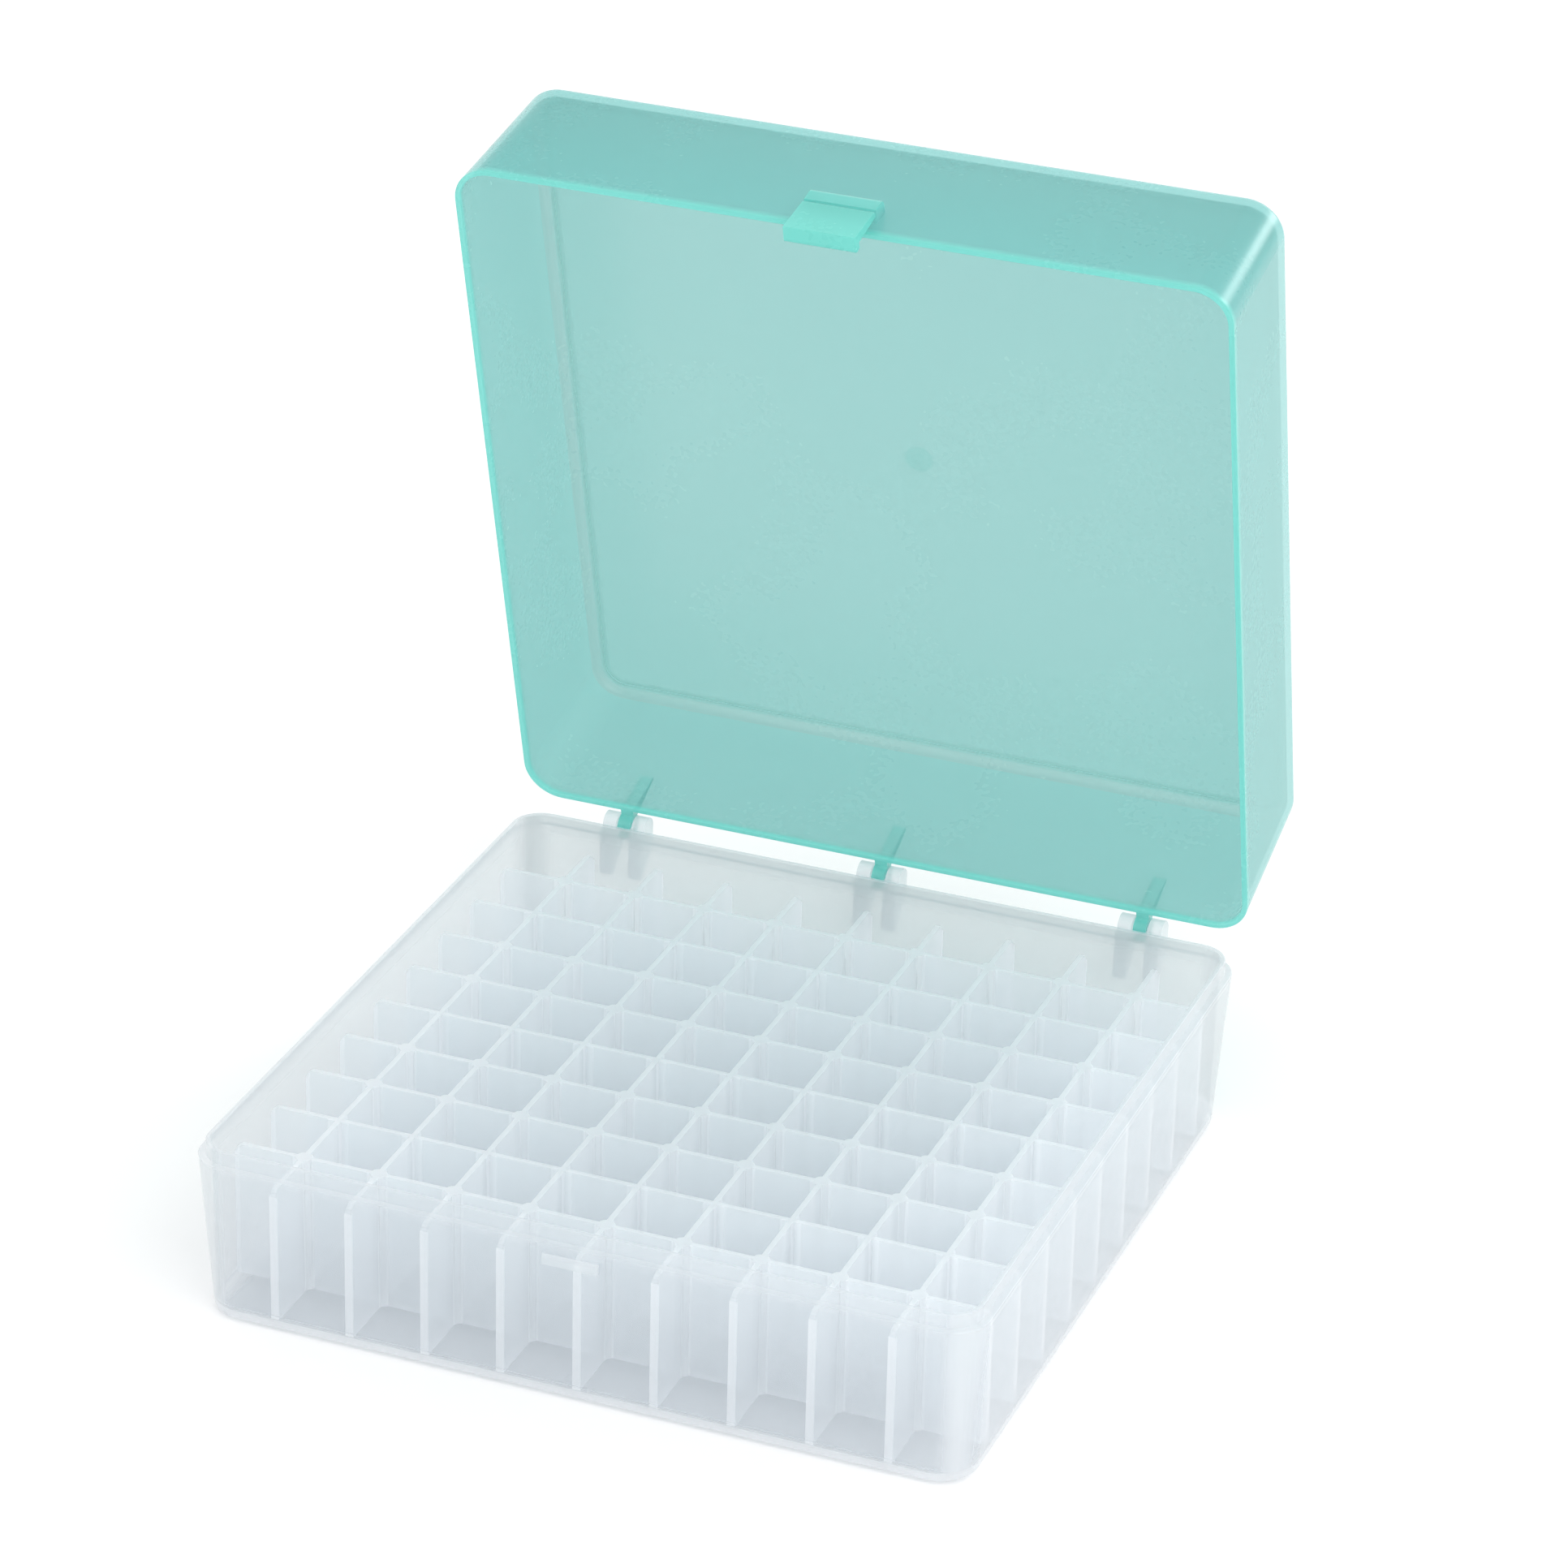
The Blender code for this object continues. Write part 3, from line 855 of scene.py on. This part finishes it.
@dataclass
class WellGrid:
    """The crossing dividers and the round posts where most of them cross."""

    pitch: float
    wells: int
    reach_x: float
    reach_y: float
    low: float
    top: float
    foot_thickness: float = 1.45 * MM
    top_thickness: float = 1.1 * MM
    post_radius: float = 1.65 * MM
    post_rows: tuple[int, ...] = (1, 3, 4, 6, 7, 9)
    post_turn_deg: float = 7.0
    post_taper: float = 0.94
    end_round: float = 1.5 * MM
    top_round: float = 0.2 * MM
    long_trim: float = 0.03 * MM
    cross_trim: float = 0.07 * MM

    def line(self, number: int) -> float:
        """Where a divider stands across the grid, counted from 1."""
        return (number - self.wells / 2) * self.pitch

    def divider(self, name: str, axis: Axis, reach: float, trim: float) -> bpy.types.Object:
        """Model one divider through the middle.

        Args:
            name: The piece's name.
            axis: The direction that it runs along.
            reach: Half its length.
            trim: How much shorter it is at its top and foot, so that no two faces coincide.

        Returns:
            The divider, with drafted sides and rounded top corners.
        """
        half = self.foot_thickness / 2
        top = self.top - trim
        ends = (reach, half) if axis is Axis.X else (half, reach)
        plate = Shop.block(name, (-ends[0], -ends[1], self.low + trim), (ends[0], ends[1], top))
        along = axis.value
        with Edit(plate) as edit:
            edit.edges(lambda a, b: near(a.z, top) and near(b.z, top)
                       and near(a[along], b[along]))
            edit.bevel(self.end_round, 5)
            edit.faces(lambda c, n: n.z > 0.2)
            scale = self.top_thickness / self.foot_thickness
            edit.resize(*((1.0, scale) if axis is Axis.X else (scale, 1.0)))
            edit.edges(lambda a, b: min(a.z, b.z) > self.top - self.end_round - 0.1 * MM
                       and near(a[1 - along], b[1 - along])
                       and not near(a[along], b[along]))
            edit.bevel(self.top_round, 2)
        return plate

    def build(self) -> bpy.types.Object:
        """Model and dress the whole grid.

        Returns:
            The finished piece, as one mesh.
        """
        numbers = range(1, self.wells)
        long_one = self.divider("well_grid", Axis.Y, self.reach_y, self.long_trim)
        longs = [Shop.copy(long_one, (self.line(n), 0.0, 0.0)) for n in numbers]
        bpy.data.objects.remove(long_one, do_unlink=True)
        cross_one = self.divider("cross", Axis.X, self.reach_x, self.cross_trim)
        crosses = [Shop.copy(cross_one, (0.0, self.line(n), 0.0)) for n in numbers]
        bpy.data.objects.remove(cross_one, do_unlink=True)
        post = Shop.bar("post", (0.0, 0.0, (self.low + self.top) / 2), self.post_radius,
                        self.top - self.low, Axis.Z, 20)
        post.data.transform(Matrix.Rotation(math.radians(self.post_turn_deg), 4, "Z"))
        with Edit(post) as edit:
            edit.faces(facing_up)
            edit.resize(self.post_taper, self.post_taper)
            edit.edges(level(self.top))
            edit.bevel(EDGE_ROUND, 2)
        posts = [Shop.copy(post, (self.line(n), -self.line(row), 0.0))
                 for row in self.post_rows for n in numbers]
        bpy.data.objects.remove(post, do_unlink=True)
        grid = Shop.join(longs)
        grid.name = "well_grid"
        Shop.shape(grid, Shop.join(crosses), "UNION")
        Shop.clean(grid)
        Shop.shape(grid, Shop.join(posts), "UNION")
        Shop.clean(grid)
        Shop.dress(grid, 30.0, self.thick)
        return grid

    def thick(self, point: Vector, normal: Vector) -> float:
        """How much plastic lies behind a point of the grid.

        Args:
            point: A corner of a face.
            normal: The face's normal.

        Returns:
            1 on the dividers' ends, less along their tops and feet, and 0 on their sides.
        """
        ends = (abs(point.y) > self.reach_y - 1.6 * MM and abs(normal.y) > 0.5
                or abs(point.x) > self.reach_x - 1.6 * MM and abs(normal.x) > 0.5)
        if ends and (abs(point.y) > self.reach_y - 0.05 * MM
                     or abs(point.x) > self.reach_x - 0.05 * MM):
            return 1.0
        if normal.z > 0.5:
            return 0.45
        return 0.9 if normal.z < -0.5 else 0.0


@dataclass
class HingeEars:
    """Pairs of ears on the tray's back wall, each with a bar between them."""

    places: tuple[float, ...]
    axis_y: float
    axis_z: float
    wall_y: float
    ear_width: float = 2.6 * MM
    inner_gap: float = 1.55 * MM
    radius: float = 2.3 * MM
    root_drop: float = 9.0 * MM
    bar_radius: float = 1.2 * MM
    root_slope: float = 5.2 * MM

    def ear(self, name: str, middle: float) -> bpy.types.Object:
        """Model one ear.

        Args:
            name: The piece's name.
            middle: Its place along X.

        Returns:
            The ear, as one closed mesh.
        """
        half = self.ear_width / 2
        ear = Shop.bar(name, (middle, self.axis_y, self.axis_z), self.radius,
                       self.ear_width, Axis.X, 32)
        root = self.axis_z - self.root_drop
        web = Shop.block("web", (middle - half, self.wall_y + 0.1 * MM, root),
                         (middle + half, self.axis_y + self.radius * 0.96,
                          self.axis_z - 0.1 * MM))
        with Edit(web) as edit:
            edit.edges(lambda a, b: near(a.y, b.y) and near(a.z, b.z)
                       and a.z < root + 0.01 * MM
                       and a.y > self.wall_y + 1.0 * MM)
            edit.bevel(self.root_slope, 1)
        Shop.shape(ear, web, "UNION")
        Shop.modify(ear, "BEVEL", width=EDGE_ROUND, segments=2, limit_method="ANGLE",
                    angle_limit=math.radians(35.0))
        return ear

    def build(self) -> list[bpy.types.Object]:
        """Model and dress the ears and bars.

        Returns:
            One piece for each hinge.
        """
        made = []
        for number, place in enumerate(self.places, start=1):
            shift = self.inner_gap + self.ear_width / 2
            name = f"hinge_ears_{number}"
            pair = Shop.join([self.ear(name, place - shift), self.ear("ear", place + shift)])
            bar = Shop.bar("bar", (place, self.axis_y, self.axis_z), self.bar_radius,
                           2 * self.inner_gap + self.ear_width, Axis.X, 24)
            Shop.shape(pair, bar, "UNION")
            Shop.dress(pair, 35.0, lambda point, normal: 0.8)
            made.append(pair)
        return made


@dataclass
class Lid:
    """The lid, modelled closed and then turned open about the hinge axis."""

    half_x: float
    half_y: float
    rim: float
    height: float
    hinge: Vector
    open_deg: float
    side_draft: float = 0.8 * MM
    front_draft: float = 2.4 * MM
    back_draft: float = 0.7 * MM
    wall: float = 1.0 * MM
    plate: float = 1.5 * MM
    corner: float = 7.0 * MM
    top_edge: float = 2.6 * MM
    inner_round: float = 1.7 * MM
    rim_rings: tuple[float, ...] = (0.5 * MM, 1.1 * MM, 1.8 * MM, 5.0 * MM)
    clip_places: tuple[float, ...] = HINGE_PLACES
    clip_width: float = 2.4 * MM
    clip_radius: float = 2.4 * MM
    clip_bore: float = 1.42 * MM
    web_rise: float = 8.0 * MM
    web_inset: float = 1.0 * MM
    latch_width: float = 13.0 * MM
    latch_proud: float = 2.5 * MM
    latch_gap: float = 1.2 * MM
    root_low: float = 3.6 * MM
    root_high: float = 7.6 * MM
    tongue_top: float = 3.3 * MM
    tongue_drop: float = 6.3 * MM
    tongue_flare: float = 0.85 * MM
    hook_height: float = 2.0 * MM
    gate_x: float = -0.5 * MM
    gate_y: float = 1.5 * MM
    gate_radius: float = 2.6 * MM

    def opened(self) -> Matrix:
        """The turn from the closed lid to the open one.

        Returns:
            The turn about the hinge axis.
        """
        there = Matrix.Translation(self.hinge)
        turn = Matrix.Rotation(-math.radians(self.open_deg), 4, "X")
        return there @ turn @ there.inverted()

    def taper(self, edit: Edit, rise: float, inset: float) -> None:
        """Draw the selected loop in by the walls' draft at a height above the rim.

        Args:
            edit: The edit under way.
            rise: The height above the rim.
            inset: How far the loop is inside the outline.
        """
        part = rise / self.height
        half = self.half_x - inset
        back = self.half_y - inset
        span = 2 * back
        new_back = back - self.back_draft * part
        new_front = -back + self.front_draft * part
        edit.resize(1.0 - self.side_draft * part / half, (new_back - new_front) / span)
        edit.move((0.0, (new_back + new_front) / 2, 0.0))

    def shell(self) -> bpy.types.Object:
        """Model the lid's walls and top.

        Returns:
            The shell, closed on the tray.
        """
        top = self.rim + self.height
        shell = Shop.block("lid_shell", (-self.half_x, -self.half_y, self.rim),
                           (self.half_x, self.half_y, top))
        with Edit(shell) as edit:
            edit.edges(upright)
            edit.bevel(self.corner, 14)
            edit.faces(facing_up)
            self.taper(edit, self.height, 0.0)
            edit.edges(level(top))
            edit.bevel(self.top_edge, 8)
            edit.faces(facing_down)
            edit.inset(self.wall)
            edit.extrude(self.height - self.plate)
            self.taper(edit, self.height - self.plate, self.wall)
            ceiling = top - self.plate
            edit.edges(level(ceiling))
            edit.bevel(self.inner_round, 6)
            edit.faces(lambda c, n: facing_down(c, n) and near(c.z, ceiling))
            edit.inset(0.30 * MM)
            edit.extrude(0.18 * MM)
            edit.inset(0.30 * MM)
            edit.inset(0.9 * MM)
            edit.edges(level(self.rim))
            edit.bevel(EDGE_ROUND, 3)
            for rise in self.rim_rings:
                edit.ring(self.rim + rise)
        return shell

    def clip(self, middle: float) -> bpy.types.Object:
        """Model one open ring that snaps over a hinge bar, with the web that carries it.

        Args:
            middle: Its place along X.

        Returns:
            The clip, as one closed mesh.
        """
        axis_y, axis_z = self.hinge.y, self.hinge.z
        half = self.clip_width / 2
        ring = Shop.bar("clip", (middle, axis_y, axis_z), self.clip_radius, self.clip_width,
                        Axis.X, 40)
        web_top = self.rim + self.clip_radius + self.web_rise
        web_back = axis_y - self.web_inset
        web = Shop.block("web", (middle - half, self.half_y - 0.6 * MM, self.rim + 0.3 * MM),
                         (middle + half, web_back, web_top))
        with Edit(web) as edit:
            edit.edges(line_at(web_back, web_top))
            edit.move((0.0, self.half_y + 0.3 * MM - web_back, 0.0))
        Shop.shape(ring, web, "UNION")
        Shop.shape(ring, Shop.bar("bore", (middle, axis_y, axis_z), self.clip_bore,
                                  self.clip_width * 2, Axis.X, 32), "DIFFERENCE")
        mouth = self.clip_bore * 0.62
        Shop.shape(ring, Shop.block("mouth", (middle - 2 * half, axis_y - mouth,
                                              axis_z - 2 * self.clip_radius),
                                    (middle + 2 * half, axis_y + mouth, axis_z)), "DIFFERENCE")
        return ring

    def latch_root(self) -> bpy.types.Object:
        """Model the hooded block on the lid's front wall that carries the tongue.

        Returns:
            The block, which runs into the wall.
        """
        low, high = self.rim + self.root_low, self.rim + self.root_high
        outer = -self.half_y - self.latch_proud
        half = self.latch_width / 2
        root = Shop.block("latch_root", (-half, outer, low), (half, -self.half_y + 0.6 * MM, high))
        with Edit(root) as edit:
            edit.edges(line_at(outer, high))
            edit.bevel(1.7 * MM, 4)
            edit.edges(lambda a, b: near(a.x, b.x) and abs(a.x) > half - 0.02 * MM
                       and min(a.y, b.y) < outer + 2.0 * MM and max(a.y, b.y) < -self.half_y)
            edit.bevel(0.2 * MM, 2)
        return root

    def tongue(self) -> bpy.types.Object:
        """Model the latch tongue: a flat arm with a hook inside and a lifting edge.

        Returns:
            The finished piece, open as the frame's lid is.
        """
        top, low = self.rim + self.tongue_top, self.rim - self.tongue_drop
        inner, outer = -self.half_y - self.latch_gap, -self.half_y - self.latch_proud
        half = self.latch_width / 2
        arm = Shop.block("latch_tongue", (-half, outer, low), (half, inner, top))
        with Edit(arm) as edit:
            edit.edges(line_at(outer, low))
            edit.move((0.0, -self.tongue_flare, 0.0))
            edit.edges(line_at(outer, top))
            edit.bevel(0.6 * MM, 3)
        nose = -self.half_y
        hook = Shop.block("hook", (-half, inner - 0.4 * MM, low),
                          (half, nose, low + self.hook_height))
        with Edit(hook) as edit:
            edit.edges(line_at(nose, low))
            edit.bevel(0.8 * MM, 3)
        Shop.shape(arm, hook, "UNION")
        Shop.modify(arm, "BEVEL", width=0.18 * MM, segments=2, limit_method="ANGLE",
                    angle_limit=math.radians(50.0))
        solid = low + self.hook_height + 0.2 * MM
        Shop.dress(arm, 35.0, lambda c, n: 1.0 if abs(n.x) > 0.5 or c.z < solid else 0.8)
        arm.data.transform(self.opened())
        return arm

    def gate(self) -> bpy.types.Object:
        """Model the moulding gate's scar on the top, with the shallow ring round it.

        Returns:
            The scar, which runs into the top.
        """
        top = self.rim + self.height
        middle = (self.gate_x, self.gate_y)
        ring = Shop.bar("gate", (*middle, top), self.gate_radius, 0.24 * MM, Axis.Z, 40)
        with Edit(ring) as edit:
            edit.faces(facing_up)
            edit.inset(0.35 * MM)
            edit.extrude(-0.09 * MM)
            edit.inset(1.3 * MM)
            edit.extrude(0.14 * MM)
        return ring

    def build(self) -> bpy.types.Object:
        """Model and dress the lid.

        Returns:
            The finished piece, open as the frame's lid is.
        """
        shell = self.shell()
        for middle in self.clip_places:
            Shop.shape(shell, self.clip(middle), "UNION")
        Shop.shape(shell, self.latch_root(), "UNION")
        Shop.shape(shell, self.gate(), "UNION")
        Shop.dress(shell, 35.0, self.thick, self.painted_shade)
        shell.data.transform(self.opened())
        return shell

    def thick(self, point: Vector, normal: Vector) -> float:
        """How much plastic lies behind a point of the lid.

        Args:
            point: A corner of a face.
            normal: The face's normal.

        Returns:
            A share from 0 to 1.
        """
        rise = point.z - self.rim
        if abs(point.y) > self.half_y + 0.1 * MM:
            return 0.8
        rim = 1.0 - ramp(rise, 0.3 * MM, 1.9 * MM)
        gate = 0.5 if rise > self.height + 0.02 * MM else 0.0
        line = 0.0
        if normal.z < -0.5 and rise > self.height - self.plate - 0.05 * MM:
            line = 0.8 * (1.0 - ramp(self.gap(point), 2.35 * MM, 3.15 * MM))
        return min(1.0, max(rim, gate, line))

    def gap(self, point: Vector) -> float:
        """How far a point of the ceiling is from the inside of the walls.

        Args:
            point: A point of the closed lid.

        Returns:
            The distance.
        """
        middle = (self.front_draft - self.back_draft) / 2
        half_x = self.half_x - self.side_draft - self.wall
        half_y = self.half_y - (self.front_draft + self.back_draft) / 2 - self.wall
        inner = self.corner - self.wall
        past_x = abs(point.x) - (half_x - inner)
        past_y = abs(point.y - middle) - (half_y - inner)
        if past_x > 0.0 and past_y > 0.0:
            return inner - math.hypot(past_x, past_y)
        return inner - max(past_x, past_y)

    def painted_shade(self, point: Vector, normal: Vector) -> float:
        """How much painted shade, a greyer tint for the dim light inside the lid, the plate, its
        fillet and the inner walls show.

        Args:
            point: A corner of a face.
            normal: The face's normal.

        Returns:
            A share from 0 to 1.
        """
        # Painted shade: 0.8 on the plate's underside, full on the fillet band, 0.45 on the inner
        # walls.
        rise = point.z - self.rim
        ceiling = self.height - self.plate
        if normal.z < -0.97 and rise > ceiling - 0.1 * MM:
            return 0.8
        if ceiling - 1.8 * MM < rise < ceiling - 0.02 * MM and normal.z < -0.05:
            return 1.0
        inward = point.x * normal.x + point.y * normal.y < -5.0 * MM
        return 0.45 if inward and rise > 1.0 * MM else 0.0


@dataclass
class Studio:
    """The floor, the lights, which all face one point, and the camera."""

    azimuth_deg: float = 20.874
    elevation_deg: float = 26.522
    roll_deg: float = 1.435
    place: tuple[float, float, float] = (0.32735, -0.83623, 0.53146)
    lens: float = 136.4
    sensor: float = 36.0
    aim: tuple[float, float, float] = (0.0, 0.0, 0.06)
    air: float = 0.98

    def camera(self) -> None:
        """Add the camera and make it the scene's own."""
        turn = math.radians(self.azimuth_deg)
        rise = math.radians(self.elevation_deg)
        roll = math.radians(self.roll_deg)
        back = Vector((math.sin(turn) * math.cos(rise), -math.cos(turn) * math.cos(rise),
                       math.sin(rise)))
        level = (-back).cross(Vector((0.0, 0.0, 1.0))).normalized()
        upright = level.cross(-back)
        right = math.cos(roll) * level + math.sin(roll) * upright
        up = -math.sin(roll) * level + math.cos(roll) * upright
        Shop.deselect()
        bpy.ops.object.camera_add(location=self.place)
        camera = bpy.context.object
        camera.name = "studio_camera"
        pose = Matrix((right, up, back)).transposed().to_4x4()
        pose.translation = Vector(self.place)
        camera.matrix_world = pose
        camera.data.lens = self.lens
        camera.data.sensor_width = self.sensor
        camera.data.clip_start = 0.05
        camera.data.clip_end = 50.0
        bpy.context.scene.camera = camera

    def floor(self) -> None:
        """Add the pale floor."""
        Shop.deselect()
        bpy.ops.mesh.primitive_plane_add(size=24.0, location=(0.0, 0.0, -0.0002))
        floor = bpy.context.object
        floor.name = "studio_floor"
        bench = NodeBench("studio_floor")
        place = bench.node("ShaderNodeTexCoord", output="Object")
        cloud = bench.noise(place, 3.0, 2.0)
        colour = bench.blend(cloud, (0.93, 0.93, 0.93), (0.96, 0.96, 0.96))
        shader = bench.node("ShaderNodeBsdfPrincipled", None, {
            "Base Color": colour, "Roughness": 0.9, "Specular IOR Level": 0.1})
        floor.data.materials.append(bench.finish(shader))

    def lamp(self, name: str, place: Sequence[float], size: float, watts: float) -> None:
        """Add one soft light.

        Args:
            name: The light's name.
            place: Where it stands.
            size: The side of its square face.
            watts: Its power.
        """
        Shop.deselect()
        bpy.ops.object.light_add(type="AREA", location=place)
        light = bpy.context.object
        light.name = name
        light.data.size = size
        light.data.energy = watts
        direction = Vector(self.aim) - Vector(place)
        light.rotation_euler = direction.to_track_quat("-Z", "Y").to_euler()

    def build(self) -> None:
        """Set up the camera, floor, lights and surroundings."""
        self.camera()
        self.floor()
        self.lamp("key_softbox", (1.2, -0.9, 1.5), 1.2, 9.0)
        self.lamp("fill_softbox", (-1.4, -1.0, 1.2), 1.4, 3.0)
        self.lamp("back_softbox", (0.1, 1.8, 1.1), 1.6, 2.5)
        self.lamp("rim_softbox", (0.92, 1.70, 0.72), 0.45, 8.0)
        world = bpy.data.worlds.new("studio_air")
        world.use_nodes = True
        background = world.node_tree.nodes["Background"]
        background.inputs["Color"].default_value = (1.0, 1.0, 1.0, 1.0)
        background.inputs["Strength"].default_value = self.air
        scene = bpy.context.scene
        scene.world = world
        scene.view_settings.view_transform = "Standard"
        scene.view_settings.look = "None"
        scene.cycles.max_bounces = 6
        scene.cycles.diffuse_bounces = 4
        scene.cycles.glossy_bounces = 2
        scene.cycles.transmission_bounces = 4
        scene.cycles.transparent_max_bounces = 32


def main() -> None:
    """Build the box and its studio."""
    logging.basicConfig(level=logging.INFO)
    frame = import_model()
    nodes = list(frame["nodes"])
    hinge = Vector(frame["joints"][0]["pos_m"])
    half_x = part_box("tray")[1].x
    grid_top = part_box("long_divider_5")[1].z
    shoulder = hinge.z - SHOULDER_DROP

    tray = TrayShell(half_x=half_x, half_y=HALF_Y, shoulder=shoulder, lip_top=LIP_TOP)
    Shop.fit(tray.build(), CLEAR_PP, Body.TRAY, ["tray"])

    grid = WellGrid(pitch=PITCH, wells=WELLS, reach_x=half_x - GRID_INSET - GRID_GAP,
                    reach_y=HALF_Y - GRID_INSET - GRID_GAP, low=FLOOR + GRID_LIFT, top=grid_top)
    Shop.fit(grid.build(), GRID_PP, Body.TRAY,
             [n for n in nodes if n.startswith(("long_divider", "cross_divider", "post_row"))])

    ears = HingeEars(places=HINGE_PLACES, axis_y=hinge.y, axis_z=hinge.z, wall_y=HALF_Y)
    for pair in ears.build():
        Shop.fit(pair, CLEAR_PP, Body.TRAY)

    lid = Lid(half_x=half_x, half_y=HALF_Y, rim=shoulder + RIM_GAP, height=LID_HEIGHT,
              hinge=hinge, open_deg=OPEN_DEG)
    Shop.fit(lid.build(), TEAL_PP, Body.LID, ["lid"])
    Shop.fit(lid.tongue(), TEAL_PP, Body.LATCH, ["latch"])

    Studio().build()


if __name__ == "__main__":
    main()
